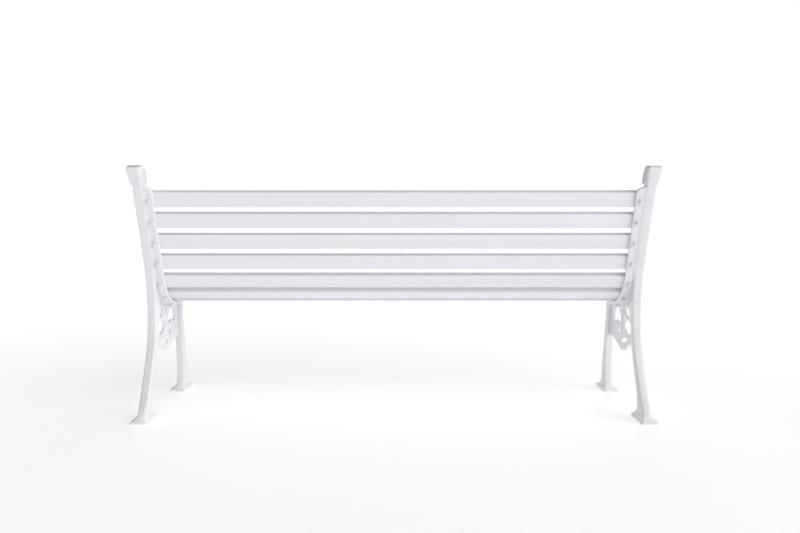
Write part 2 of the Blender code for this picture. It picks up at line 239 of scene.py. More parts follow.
# Bar between a back line and a front line in the side view, and between two X planes; each section
# is a superellipse that fills its rectangle
def barBetween(back, front, xLow, xHigh, power=ribSizes["squareness"], around=48):
    a, b = superellipse(around, power)
    middle, half = (back + front) / 2, (front - back) / 2
    xMiddle = np.broadcast_to((np.asarray(xLow) + xHigh) / 2, len(back))[:, None]
    xHalf = np.broadcast_to((np.asarray(xHigh) - xLow) / 2, len(back))[:, None]
    side = middle[:, None, :] + half[:, None, :] * b[None, :, None]
    return skin(np.stack([xMiddle + xHalf * a, midY - side[..., 0], side[..., 1]], -1))


# Round bar along a bolt's axis; rows hold (radius, height above the slat line) and may turn with
# the angle, so radius has one value for each height and angle
def turnedRows(radius, height, place, lean, around):
    turn = np.linspace(0, 2 * pi, around, endpoint=False)
    x = place[0] + radius * np.cos(turn)
    along, above = radius * np.sin(turn), np.broadcast_to(height[:, None], radius.shape)
    u = place[1] + above * np.cos(lean) + along * np.sin(lean)
    z = place[2] + above * np.sin(lean) - along * np.cos(lean)
    return np.stack([x, midY - u, z], -1)


def boltPlace(sign, station):
    u, z, lean = walk(station)
    return (sign * boltX, lineU + float(u), lineZ + float(z)), float(lean)


# Soft value between -1 and 1 at each point: a sum of sine waves in seeded directions, about one
# wave length apart
def waves(points, length, seed, count=7):
    random = np.random.default_rng(seed)
    ways = random.normal(size=(count, 3))
    ways *= (2 * pi / length) * random.uniform(0.6, 1.5, (count, 1)) / np.linalg.norm(ways, axis=1)[:, None]
    return np.sin(points @ ways.T + random.uniform(0, 2 * pi, count)).sum(1) / count


# End castings

legSizes = {
    "depth": 0.030,
    "rearBow": 0.0990,
    "frontInset": 0.1200,
    "frontSplay": 0.070,
    "squareness": 6.0,
}
footSizes = {
    "length": 0.116,
    "plate": 0.0075,
    "height": 0.024,
    "lip": 0.0025,
    "tab": 0.023,
    "anchorRadius": 0.0045,
    "anchorOut": 0.55,      # anchor hole's place across the tab
    "squareness": 14.0,
}
knobSizes = {
    "neckLength": 0.008,
    "neckWaist": 0.0010,
    "neckSquareness": 9.0,
    "height": 0.068,
    "depth": 0.057,
    "drop": 0.010,
    "full": 0.8,
    "heel": 0.003,
    "overhang": 0.003,
    "flare": 0.005,
    "squareness": 7.0,
}
castSizes = {
    "grain": 0.0021,      # size of the detail that the casting keeps
    "softening": 4,
    "lumpLength": 0.030,
    "lumpHeight": 0.00032,
    "pitLength": 0.009,
    "pitHeight": 0.00007,
    "boreRadius": 0.0043,
    "edgeContrast": 6,    # how strongly the painted shade follows hollows and the painted highlight follows edges
}


def atHeight(part):
    return footSizes["height"] + (underside - footSizes["height"]) * part


legDepth, bow = legSizes["depth"], legSizes["rearBow"]
frontTop = besideLine(lineEnd)[0] - legSizes["frontInset"]
frontFoot = frontTop + legSizes["frontSplay"]
# Part of the height, back and front of each leg
rearLeg = np.array([
    (0.00, 0.000, legDepth + 0.042),
    (0.04, 0.004, legDepth + 0.036),
    (0.17, bow - 0.071, legDepth + 0.035),
    (0.38, bow - 0.041, bow - 0.039 + legDepth),
    (0.62, bow - 0.010, bow - 0.010 + legDepth),
    (0.87, bow, bow + legDepth)])
frontLeg = np.array([
    (0.00, frontFoot - legDepth - 0.028, frontFoot),
    (0.09, frontFoot - legDepth - 0.026, frontFoot - 0.006),
    (0.27, frontFoot - legDepth - 0.026, frontFoot - 0.020),
    (0.42, frontFoot - legDepth - 0.034, frontFoot - 0.034),
    (0.66, frontTop - legDepth + 0.018, frontTop + 0.018),
    (0.93, frontTop - legDepth, frontTop)])

# Where u = 0 lies in the frame: the first slat's box has the slat's middle at its own middle
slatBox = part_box("back_slat_1")
midY = (slatBox[0].y + slatBox[1].y) / 2 + besideLine(stations[0], 0.010)[0]


def legLine(leg, side):
    return np.stack([leg[:, side], atHeight(leg[:, 0])], 1)


# Post, seat rail and rolled front end as one bar along the slat line, its nose half a circle
def ribSkin():
    count, noseCount = 150, 11
    distance = np.linspace(0, lineEnd, count)
    back, front = besideLine(distance, ribBack), besideLine(distance, ribFront)
    turn = np.linspace(0, pi / 2, noseCount + 1)[1:] * 0.97
    radius = (ribFront - ribBack) / 2
    heart, along = (ribBack + ribFront) / 2, radius * np.sin(turn)
    noseBack = besideLine(np.full(noseCount, lineEnd), heart - radius * np.cos(turn), along)
    noseFront = besideLine(np.full(noseCount, lineEnd), heart + radius * np.cos(turn), along)
    inset = np.concatenate([np.zeros(count), ribSizes["noseInset"] * (1 - np.cos(turn))])
    return barBetween(np.vstack([back, noseBack]), np.vstack([front, noseFront]),
                      ribX + inset, ribSizes["outerX"] - inset)


# Ledge with a flat pad under each slat; its top end slants up to the rib
def ledgeSkin():
    half, touch = lineSizes["slatWidth"] / 2, ribSizes["touch"]
    lines = []
    for above in (-ribSizes["ledgeThickness"], -touch):
        pads = [besideLine(stations, above, side) for side in (-half, half)]
        line = np.stack(pads, 1).reshape(-1, 2)
        top = besideLine(np.array([-ribSizes["shoulderRise"], 0.0, ribSizes["ledgeShort"] + 0.006]), above)
        lines.append(np.vstack([top, line, besideLine(np.array([lineEnd - ribSizes["ledgeShort"]]), above)]))
    xLow = np.full(len(lines[0]), ledgeX)
    xLow[:3] = ribX, ledgeX + 0.004, ledgeX
    return barBetween(lines[0], lines[1], xLow, ribX + 0.012, ribSizes["ledgeSquareness"])


# Blend that fills the inner corner between the rib and the back of the ledge
def blendSkin():
    distance, fill = np.linspace(0.004, lineEnd - 0.004, 150), ribSizes["fill"]
    back, front = besideLine(distance, ribBack + 0.0006), besideLine(distance, -0.003)
    return barBetween(back, front, ribX - fill, ribX + fill * 2, ribSizes["fillSquareness"])


# Legs: each flares into the rail above it and runs down into its foot
def legSkins():
    sunk = np.array([0, -0.010])
    postEnd = backRun - lineSizes["slatWidth"] * 0.5
    fillet = ribSizes["fillet"]
    rearBack, rearFront = legLine(rearLeg, 1), legLine(rearLeg, 2)
    frontBack, frontFront = legLine(frontLeg, 1), legLine(frontLeg, 2)
    post = besideLine(np.array([postEnd, postEnd - lineSizes["slatWidth"] * 0.8]), ribBack)
    railFrom = np.array([rearLeg[-1, 2] + fillet, underside + fillet / 2])
    railTo = np.array([frontLeg[-1, 1] - fillet * 2 / 3, underside + fillet / 3])
    brow = besideLine(lineEnd - noseRun * 0.8, ribBack)
    browFoot = np.array([frontLeg[-1, 2] + fillet * 1.3, brow[1] - fillet / 6])
    lines = [
        [rearBack[0] + sunk, *rearBack, *post],
        [rearFront[0] + sunk, *rearFront, railFrom, railFrom + (fillet, fillet)],
        [frontBack[0] + sunk, *frontBack, railTo, railTo + (-fillet, fillet)],
        [frontFront[0] + sunk, *frontFront, browFoot, brow, brow + (fillet / 2, fillet)]]
    lines = [curveThrough(line, 90) for line in lines]
    return [barBetween(back, front, ribX, ribSizes["outerX"], legSizes["squareness"])
            for back, front in (lines[:2], lines[2:])]


# Foot: rectangles stacked from the plate through a hollow flare and a small plinth to the leg
def footSkin(leg):
    back, front = leg[0, 1], leg[0, 2]
    toe = back + footSizes["length"]
    height, plate = footSizes["height"], footSizes["plate"]
    z = np.array([0, plate, plate + 0.0004, plate + 0.001, 0.0125, 0.016, 0.019, 0.0195, height - 0.001,
                  height, height + 0.003])
    out = np.array([1, 1, 0.96, 0.84, 0.52, 0.36, 0.30, 0.24, 0.24, 0.08, 0.0])
    tab, lip = footSizes["tab"], footSizes["lip"]
    lines = [np.stack([back + 0.004 * (1 - out), z], 1), np.stack([front + (toe - front) * out, z], 1)]
    return barBetween(lines[0], lines[1], ribX - lip * np.clip(out * 1.2, 0, 1),
                      ribSizes["outerX"] + tab * out, footSizes["squareness"], around=64)


# Neck and knob: the back leans out a little, the crown is a quarter ellipse and the front bulges
def knobSkins():
    waist, length = knobSizes["neckWaist"], knobSizes["neckLength"]
    reach = np.linspace(0.012, -length - 0.012, 6)
    neck = barBetween(besideLine(reach, ribBack + waist), besideLine(reach, ribFront - waist),
                      ribX + waist, ribSizes["outerX"] - waist, knobSizes["neckSquareness"])
    heel = ribBack - knobSizes["heel"]
    leanOut = knobSizes["flare"] * 1.8
    toeUp = length - knobSizes["drop"]
    rise = knobSizes["height"] + length - toeUp
    crownBack = heel - leanOut * 0.45
    turn = np.linspace(0, pi / 2, 26)
    up = toeUp + rise * np.sin(turn)
    bulge = (heel + knobSizes["depth"] - crownBack) * np.cos(turn) ** knobSizes["full"]
    front = besideLine(-up, crownBack + bulge)
    share = np.sin(turn)
    backUp = length + knobSizes["height"] * np.interp(share, [0, 0.25, 1], [0.09, 0.25, 0.995])
    leaning = np.interp(backUp, length + knobSizes["height"] * np.array([0.09, 0.5, 0.94, 1.0]),
                        [0, 0.55, 1.0, 0.7])
    back = besideLine(-backUp, heel - leanOut * leaning)
    spread = knobSizes["overhang"] + knobSizes["flare"] * np.clip(share, 0, 1)
    spread = spread - 0.006 * np.clip((share - 0.93) / 0.07, 0, 1) ** 2
    spread[0] -= 0.0010
    knob = barBetween(back, front, ribX - spread, ribSizes["outerX"] + spread, knobSizes["squareness"])
    return [neck, knob]


# Ornament between the legs, in (along, up): along from the rear leg (0) to the front leg (1), up
# from the lobe's lowest point (0) to the rail (1)

webSizes = {
    "low": 0.505,
    "plateHalf": 0.0036,
    "sunk": 0.012,
    "rimWidth": 0.0028,
    "rimHeight": 0.0048,
    "rimOut": 0.0034,
    "edgeWidth": 0.0036,    # bead along the lobe
    "edgeHeight": 0.0052,
    "edgeUp": 0.0035,
}
webOpenings = [
    [(0.66, 0.99), (0.575, 0.84), (0.505, 0.68), (0.55, 0.585), (0.67, 0.63),
     (0.77, 0.555), (0.80, 0.66), (0.735, 0.85)],
    [(0.27, 0.71), (0.14, 0.66), (0.11, 0.55), (0.21, 0.42), (0.35, 0.48), (0.38, 0.61)],
    [(0.25, 0.995), (0.195, 0.91), (0.185, 0.81), (0.25, 0.78), (0.305, 0.86), (0.305, 0.96)],
    [(0.59, 0.47), (0.54, 0.39), (0.59, 0.31), (0.65, 0.39)],
    [(0.29, 0.33), (0.295, 0.275), (0.40, 0.21), (0.53, 0.14), (0.56, 0.18), (0.43, 0.262)]]
webLobe = [(0.00, 0.22), (0.13, 0.22), (0.26, 0.145), (0.36, 0.05), (0.45, 0.0),
           (0.54, 0.02), (0.68, 0.12), (0.84, 0.185), (1.00, 0.18)]
# Stems and leaves in relief: route, half widths along it and the half thickness, in millimetres
webStems = [
    # trunk and its rib
    ([(0.41, 1.03), (0.435, 0.90), (0.455, 0.76), (0.465, 0.62), (0.475, 0.48), (0.50, 0.37),
      (0.545, 0.27), (0.53, 0.15), (0.47, 0.07)], (8, 7.5, 7, 6.5, 6, 5, 4.5, 5, 3), 6.4),
    ([(0.41, 1.03), (0.435, 0.90), (0.455, 0.76), (0.465, 0.62), (0.475, 0.48), (0.50, 0.38)],
     (2.2, 2, 2, 2, 1.8, 1.2), 7.8),
    # leaves towards the front leg
    ([(0.70, 0.42), (0.80, 0.44), (0.89, 0.53), (0.955, 0.68)], (2, 5, 6, 1.5), 5.9),
    ([(0.80, 0.50), (0.855, 0.62), (0.885, 0.78), (0.885, 0.95)], (2, 6, 7, 2), 6.4),
    ([(0.66, 0.34), (0.76, 0.34), (0.87, 0.37), (0.965, 0.45)], (2, 4.5, 5, 1.5), 5.5),
    ([(0.60, 0.24), (0.73, 0.245), (0.85, 0.27), (0.965, 0.28)], (1.5, 4, 4.5, 1.5), 5.2),
    # leaves towards the rear leg
    ([(0.38, 0.40), (0.27, 0.35), (0.15, 0.37), (0.05, 0.50)], (2, 5, 5.5, 1.5), 5.9),
    ([(0.06, 0.50), (0.05, 0.66), (0.07, 0.82), (0.12, 0.97)], (2, 6, 6.5, 2), 6.4),
    ([(0.33, 0.32), (0.20, 0.31), (0.10, 0.35), (0.035, 0.45)], (1.5, 4, 4.5, 1.5), 5.5),
    ([(0.37, 0.16), (0.28, 0.215), (0.17, 0.265), (0.04, 0.28)], (1.5, 3.5, 4, 1.5), 5.2),
    # small leaves under the rail, and the two buds in the large opening
    ([(0.36, 0.74), (0.36, 0.86), (0.34, 0.99)], (2, 6, 3), 5.8),
    ([(0.535, 0.80), (0.55, 0.90), (0.60, 1.00)], (2, 5, 3), 5.8),
    ([(0.61, 0.48), (0.635, 0.55), (0.665, 0.635)], (4, 6.5, 1.8), 5.8),
    ([(0.70, 0.44), (0.715, 0.52), (0.715, 0.60)], (4, 6, 1.6), 5.8)]


def webPlace(place):
    place = np.asarray(place, float)
    rear, front = rearLeg[-2, 2], frontLeg[-2, 1]
    low = atHeight(webSizes["low"])
    return np.stack([rear + (front - rear) * place[..., 0], low + (underside - low) * place[..., 1]], -1)


# Plate between two X planes with the outline's shape
def plateObject(name, outline, xLow, xHigh):
    n = len(outline)
    rows = np.empty((2, n, 3))
    rows[..., 0] = np.array([xLow, xHigh])[:, None]
    rows[..., 1], rows[..., 2] = midY - outline[:, 0], outline[:, 1]
    mesh = bpy.data.meshes.new(name)
    j = np.arange(n)
    x, y = outline[:, 0], outline[:, 1]
    if (x * np.roll(y, -1) - np.roll(x, -1) * y).sum() > 0:
        j = j[::-1]
    sides = np.stack([j, np.roll(j, -1), n + np.roll(j, -1), n + j], 1)
    mesh.from_pydata(rows.reshape(-1, 3).tolist(), [], sides.tolist() + [j[::-1].tolist(), (n + j).tolist()])
    obj = bpy.data.objects.new(name, mesh)
    bpy.context.scene.collection.objects.link(obj)
    return obj


# Strand: an ellipse carried along a route, its half width and half thickness easing to the ends
def strandSkin(route, width, thickness, around=20, closed=False):
    count = 120 if closed else 40
    line = curveThrough(route, count, closed)
    if closed:
        step = np.roll(line, -1, 0) - np.roll(line, 1, 0)
    else:
        step = np.gradient(line, axis=0)
    across = np.stack([-step[:, 1], step[:, 0]], 1) / np.linalg.norm(step, axis=1)[:, None]
    part = np.linspace(0, 1, count)
    w = np.interp(part, np.linspace(0, 1, len(width)), width)[:, None]
    if not closed:
        w = w * np.sqrt(np.clip(1 - np.abs(2 * part - 1) ** 8, 0.02, 1))[:, None]
    h = thickness * (w / w.max()) ** 0.6
    turn = np.linspace(0, 2 * pi, around, endpoint=False)
    side = line[:, None, :] + across[:, None, :] * (w * np.cos(turn))[..., None]
    return skin(np.stack([webX + h * np.sin(turn), midY - side[..., 0], side[..., 1]], -1), closed)


def webSkins():
    sunk, half = webSizes["sunk"], webSizes["plateHalf"]
    lobe = webPlace(curveThrough(webLobe, 60))
    rearTop, frontTopPlace = webPlace((0, 1)), webPlace((1, 1))
    rail = besideLine(np.linspace(backRun, lineEnd - noseRun, 40), ribBack + sunk / 2)
    rail = rail[(rail[:, 0] > rearTop[0] - sunk) & (rail[:, 0] < frontTopPlace[0] + sunk)][::-1]
    outline = np.vstack([[(rearTop[0] - sunk, lobe[0, 1])], lobe,
                         [(frontTopPlace[0] + sunk, lobe[-1, 1]), (frontTopPlace[0] + sunk, rail[0, 1])],
                         rail, [(rearTop[0] - sunk, rail[-1, 1])]])
    plate = plateObject("web", outline, webX - half, webX + half)
    rims = [webPlace(curveThrough(ring, 40, True)) for ring in webOpenings]
    tools = [plateObject("opening", rim, ribX, ribSizes["outerX"]) for rim in rims]
    for tool in tools:
        step = plate.modifiers.new("opening", "BOOLEAN")
        step.operation, step.solver, step.object = "DIFFERENCE", "EXACT", tool
    settle(plate)
    for tool in tools:
        bpy.data.objects.remove(tool)
    strands = [strandSkin(rim, [webSizes["rimWidth"]], webSizes["rimHeight"], closed=True)
               for rim in (growRing(rim, webSizes["rimOut"]) for rim in rims)]
    strands.append(strandSkin(lobe + (0, webSizes["edgeUp"]), [webSizes["edgeWidth"]] * 2,
                              webSizes["edgeHeight"]))
    for route, width, thickness in webStems:
        strands.append(strandSkin(webPlace(route), np.array(width) / 1000, thickness / 1000))
    return plate, strands


# Moves a ring outwards from its own middle line by a distance
def growRing(ring, distance):
    step = np.roll(ring, -1, 0) - np.roll(ring, 1, 0)
    out = np.stack([step[:, 1], -step[:, 0]], 1) / np.linalg.norm(step, axis=1)[:, None]
    if ((ring - ring.mean(0)) * out).sum() < 0:
        out = -out
    return ring + out * distance


# The casting's skins are fused at the size of its grain and softened, then it gets its lumps
def castFrame():
    plate, strands = webSkins()
    shells = [ribSkin(), ledgeSkin(), blendSkin(), *legSkins(), footSkin(rearLeg), footSkin(frontLeg),
              *knobSkins()]
    body = skinObject("endCasting", joinSkins(shells + strands))
    parts = [plate.data, body.data]
    points = [pointsOf(mesh) for mesh in parts]
    faces, first = [], 0
    for mesh, place in zip(parts, points):
        loops = np.empty(len(mesh.loops), int)
        mesh.loops.foreach_get("vertex_index", loops)
        starts = np.empty(len(mesh.polygons), int)
        mesh.polygons.foreach_get("loop_start", starts)
        faces += [part.tolist() for part in np.split(loops + first, starts[1:])]
        first += len(place)
    mesh = bpy.data.meshes.new("endCasting")
    mesh.from_pydata(np.vstack(points).tolist(), [], faces)
    bpy.data.objects.remove(plate)
    body.data = mesh
    remesh = body.modifiers.new("fuse", "REMESH")
    remesh.mode, remesh.voxel_size, remesh.adaptivity = "VOXEL", castSizes["grain"], 0
    soften = body.modifiers.new("soften", "SMOOTH")
    soften.factor, soften.iterations = 0.5, castSizes["softening"]
    return settle(body)


# Bar with a round section along a bolt's axis, from one height to another
def boltBar(sign, station, radius, low, high, around=32):
    place, lean = boltPlace(sign, station)
    height = np.linspace(low, high, 2)
    return skin(turnedRows(np.full((2, around), radius), height, place, lean, around))


def uprightBar(x, u, radius, low, high, around=32):
    turn = np.linspace(0, 2 * pi, around, endpoint=False)
    rows = np.empty((2, around, 3))
    rows[..., 0], rows[..., 1] = x + radius * np.cos(turn), midY - u + radius * np.sin(turn)
    rows[..., 2] = np.array([low, high])[:, None]
    return skin(rows)


# Share of each point's surroundings that stands out: the step from the mean of its neighbours to
# the point, along the normal, over the casting's grain
def standingOut(mesh, rounds=3):
    points, normals = pointsOf(mesh), np.empty(len(mesh.vertices) * 3)
    mesh.vertex_normals.foreach_get("vector", normals)
    edges = np.empty(len(mesh.edges) * 2, int)
    mesh.edges.foreach_get("vertices", edges)
    a, b = edges.reshape(-1, 2).T
    valence = np.bincount(a, minlength=len(points)) + np.bincount(b, minlength=len(points))

    def around(values):
        total = np.zeros_like(values)
        np.add.at(total, a, values[b])
        np.add.at(total, b, values[a])
        return total / np.maximum(valence, 1).reshape((-1,) + (1,) * (values.ndim - 1))

    out = ((points - around(points)) * normals.reshape(-1, 3)).sum(1) / castSizes["grain"]
    for _ in range(rounds):
        out = (out + around(out)) / 2
    return out


# Stores how far each point stands out; the cast paint turns it into painted shade in hollows and a painted
# highlight on edges
def noteEdges(mesh):
    layer = mesh.attributes.new("standingOut", "FLOAT", "POINT")
    layer.data.foreach_set("value", np.clip(standingOut(mesh) * castSizes["edgeContrast"], -1, 1))


# Lumps and shallow pits along the normals, held inside the node's own box; then the drilled holes
def finishCasting(obj, node, sign, seed):
    mesh = obj.data
    points, normals = pointsOf(mesh), np.empty(len(mesh.vertices) * 3)
    mesh.vertex_normals.foreach_get("vector", normals)
    lump = (castSizes["lumpHeight"] * waves(points, castSizes["lumpLength"], seed)
            + castSizes["pitHeight"] * waves(points, castSizes["pitLength"], seed + 1))
    # on the ledge they only go inwards, so that they stay off the slats and the nuts
    lump = np.where(np.abs(points[:, 0]) < ribX, np.minimum(lump, 0), lump)
    points += normals.reshape(-1, 3) * lump[:, None]
    low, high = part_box(node)
    points = np.clip(points, low, high)
    mesh.vertices.foreach_set("co", points.ravel())
    holes = [boltBar(sign, station, castSizes["boreRadius"], -0.016, 0.002) for station in stations]
    x = sign * (ribSizes["outerX"] + footSizes["tab"] * footSizes["anchorOut"])
    holes += [uprightBar(x, leg[0, 1] + footSizes["length"] / 2, footSizes["anchorRadius"], -0.004, 0.028)
              for leg in (rearLeg, frontLeg)]
    cut(obj, holes, 40)
    noteEdges(obj.data)
    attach(obj, "root")
    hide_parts(node)
    return obj


castLeft = castFrame()
print("casting fused:", len(castLeft.data.polygons), "faces")
castRight = bpy.data.objects.new("endCasting-right", castLeft.data.copy())
bpy.context.scene.collection.objects.link(castRight)
mirrored = pointsOf(castRight.data) * (-1, 1, 1)
castRight.data.vertices.foreach_set("co", mirrored.ravel())
castRight.data.flip_normals()
castLeft.name = "endCasting-left"
castings = [finishCasting(castLeft, "end_frame_left", 1, 11),
            finishCasting(castRight, "end_frame_right", -1, 23)]
print("castings finished:", [len(item.data.polygons) for item in castings])


# Slats

slatSizes = {
    "thickness": 0.020,
    "edgeRadius": 0.003,
    "endRadius": 0.0012,
    "endGap": 0.0015,
    "waveLength": 0.35,
    "waveHeight": 0.00018,
    "waveFrom": 0.05,       # the waves start this far from each end and are full further in
    "waveEase": 0.06,
    "boreRadius": 0.0043,
}


# Rounded rectangle: quarter circles at the corners, and a few points along each side
def roundedSection(width, height, radius, corner=6, along=7):
    turn = np.linspace(0, pi / 2, corner)
    arc = radius * np.stack([np.cos(turn), np.sin(turn)], 1)
    ring = []
    for quarter, (sx, sy) in enumerate(((1, 1), (-1, 1), (-1, -1), (1, -1))):
        c, s = cos(quarter * pi / 2), sin(quarter * pi / 2)
        middle = (sx * (width / 2 - radius), sy * (height / 2 - radius))
        ring.append(arc @ np.array([[c, s], [-s, c]]) + middle)
    sides = [np.linspace(ring[i][-1], ring[(i + 1) % 4][0], along + 2)[1:-1] for i in range(4)]
    return np.vstack([part for pair in zip(ring, sides) for part in pair])


# Slat: the section carried along X, drawn in at each end by a quarter circle, with a slow wave in
# its faces
def slatPiece(name, station, seed):
    thickness, radius = slatSizes["thickness"], slatSizes["endRadius"]
    halfLength = ribX - slatSizes["endGap"]
    turn = np.linspace(0, pi / 2, 5)
    ends = halfLength - radius * (1 - np.sin(turn))
    inner = np.linspace(-ends[0], ends[0], 61)[1:-1]
    x = np.concatenate([-ends[::-1], inner, ends])
    inset = np.zeros(len(x))
    inset[:5], inset[-5:] = radius * (1 - np.cos(turn[::-1])), radius * (1 - np.cos(turn))
    ring = roundedSection(lineSizes["slatWidth"], thickness, slatSizes["edgeRadius"])
    reach = np.abs(ring).max(0)
    along = ring[None, :, 0] * (1 - inset[:, None] / reach[0])
    above = ring[None, :, 1] * (1 - inset[:, None] / reach[1])
    grid = np.stack(np.broadcast_arrays(x[:, None], along * 6, above * 6), -1)
    wave = waves(grid.reshape(-1, 3), slatSizes["waveLength"], seed).reshape(above.shape)
    hold = np.clip((halfLength - slatSizes["waveFrom"] - np.abs(x)) / slatSizes["waveEase"], 0, 1)[:, None]
    above = above - np.sign(above) * slatSizes["waveHeight"] * (1 + wave) * hold + thickness / 2
    along = along - np.sign(along) * slatSizes["waveHeight"] * (1 - wave) * hold * (np.abs(ring[:, 0]) > 0.02)
    u, z, lean = walk(station)
    side = np.stack([lineU + u + above * np.cos(lean) + along * np.sin(lean),
                     lineZ + z + above * np.sin(lean) - along * np.cos(lean)], -1)
    rows = np.stack([np.broadcast_to(x[:, None], above.shape), midY - side[..., 0], side[..., 1]], -1)
    obj = skinObject(name, skin(rows))
    cut(obj, [boltBar(sign, station, slatSizes["boreRadius"], -0.003, thickness + 0.003)
              for sign in (-1, 1)], 35)
    return obj


# Bolts and nuts

boltSizes = {
    "radius": 0.004,
    "headRadius": 0.0085,
    "headHeight": 0.0045,
    "rim": 0.0010,
    "proud": 0.0035,
    "chamfer": 0.0009,
    "threadPitch": 0.00125,
    "threadDepth": 0.00055,
    "threadLength": 0.016,
}
nutSizes = {
    "flats": 0.013,
    "height": 0.0065,
    "chamfer": 0.0010,
    "cornerCut": 0.00035,
    "boreRadius": 0.0043,
}


# Bolt: shank and domed head as rings about the axis; the thread is a triangle wave that climbs one
# pitch in a turn and fades into the shank
def boltPiece(name, sign, station):
    around = 32
    place, lean = boltPlace(sign, station)
    radius, chamfer = boltSizes["radius"], boltSizes["chamfer"]
    end = -ribSizes["ledgeThickness"] - ribSizes["touch"] - nutSizes["height"] - boltSizes["proud"]
    seat = slatSizes["thickness"] + ribSizes["touch"]
    threadTop = end + boltSizes["threadLength"]
    steps = int(boltSizes["threadLength"] / boltSizes["threadPitch"] * 6)
    thread = np.linspace(end, threadTop, steps)
    turn = np.linspace(0, 2 * pi, around, endpoint=False)
    phase = (thread[:, None] / boltSizes["threadPitch"] + turn / (2 * pi)) % 1
    fade = np.clip((threadTop - thread) / 0.002, 0, 1)[:, None]
    groove = boltSizes["threadDepth"] * np.clip(2 * np.abs(phase - 0.5) * 1.6 - 0.4, 0, 1) * fade
    point = chamfer * np.clip(1 - (thread - end) / chamfer, 0, 1)[:, None]
    threaded = np.minimum(radius - groove, radius - point)
    dome = np.linspace(0, pi / 2, 9)[:-1]
    rim, height = boltSizes["rim"], boltSizes["headHeight"]
    rings = [(radius, threadTop + 0.001), (radius, seat - 0.0005), (radius, seat),
             (boltSizes["headRadius"] - 0.0003, seat), (boltSizes["headRadius"], seat + 0.0003)]
    rings += [(boltSizes["headRadius"] * cos(a), seat + rim + (height - rim) * sin(a)) for a in dome]
    rings.append((0.0004, seat + height))
    plain = np.array(rings)
    rows = turnedRows(np.vstack([threaded, np.repeat(plain[:, :1], around, 1)]),
                      np.concatenate([thread, plain[:, 1]]), place, lean, around)
    return skinObject(name, skin(rows), 38)


# Nut: its flats lie at half the width over the cosine of the angle from the nearest flat, the
# corners are cut back by a cone at both faces, and the bore closes the loop
def nutPiece(name, sign, station):
    around = 48
    place, lean = boltPlace(sign, station)
    turn = np.linspace(0, 2 * pi, around, endpoint=False)
    hexagon = nutSizes["flats"] / 2 / np.cos((turn + pi / 6) % (pi / 3) - pi / 6)
    corner = nutSizes["flats"] / 2 / cos(pi / 6) - nutSizes["cornerCut"]
    hexagon = np.minimum(hexagon, corner)
    height = nutSizes["height"]
    low = -ribSizes["ledgeThickness"] - ribSizes["touch"] - height
    part = np.array([0, 0.04, 0.10, 0.16, 0.22, 0.5, 0.78, 0.84, 0.90, 0.96, 1.0])
    fromFace = np.minimum(part, 1 - part) * height
    cone = corner - nutSizes["chamfer"] + fromFace * 1.7
    outer = np.minimum(hexagon[None, :], cone[:, None])
    bore = np.full((4, around), nutSizes["boreRadius"])
    bore[[0, 3]] += 0.0005
    boreHeight = np.array([1.0, 0.93, 0.07, 0.0])
    rows = turnedRows(np.vstack([outer, bore]), low + height * np.concatenate([part, boreHeight]),
                      place, lean, around)
    return skinObject(name, skin(rows, True), 25)


slats, fasteners = [], []
for i, station in enumerate(stations):
    part = "back" if i < lineSizes["backSlats"] else "seat"
    number = i + 1 if part == "back" else i + 1 - lineSizes["backSlats"]
    slat = slatPiece(f"{part}Slat-{number}", station, 100 + i)
    slats.append(slat)
    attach(slat, "root")
    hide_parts(f"{part}_slat_{number}")
    for word, sign in sideSigns.items():
        for kind, make in (("bolt", boltPiece), ("nut", nutPiece)):
            piece = make(f"{part}{kind.capitalize()}-{number}-{word}", sign, station)
            fasteners.append(piece)
            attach(piece, "root")
            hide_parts(f"{part}_{kind}_{number}_{word}")
print("slats and fasteners:", len(slats), len(fasteners))


# Paints

castPaint = {
    "colour": (0.80, 0.80, 0.83),
    # painted shade for the hollows, then a painted highlight for the edges
    "hollowShade": (0.58, 0.58, 0.62),
    "edge": (0.87, 0.87, 0.88),
    "roughness": (0.26, 0.42),
    "coat": 0.35,
    "coatRoughness": 0.12,
    "sand": 420.0,
    "sandDepth": 0.00010,
    "peel": 130.0,
    "peelDepth": 0.00022,
}
slatPaint = {
    "colour": (0.830, 0.836, 0.860),
    "streak": (0.785, 0.792, 0.818),
    "roughness": (0.38, 0.50),
    "coat": 0.12,
    "coatRoughness": 0.25,
    "grain": (3.0, 260.0, 260.0),
    "grainDepth": 0.000035,
    "cloud": 9.0,
}
boltPaint = {
    "colour": (0.80, 0.80, 0.825),
    # grey that random spots of the paint turn to
    "greySpot": (0.52, 0.53, 0.56),
    "roughness": (0.25, 0.40),
    "spots": 700.0,
    "bump": 0.00006,
}


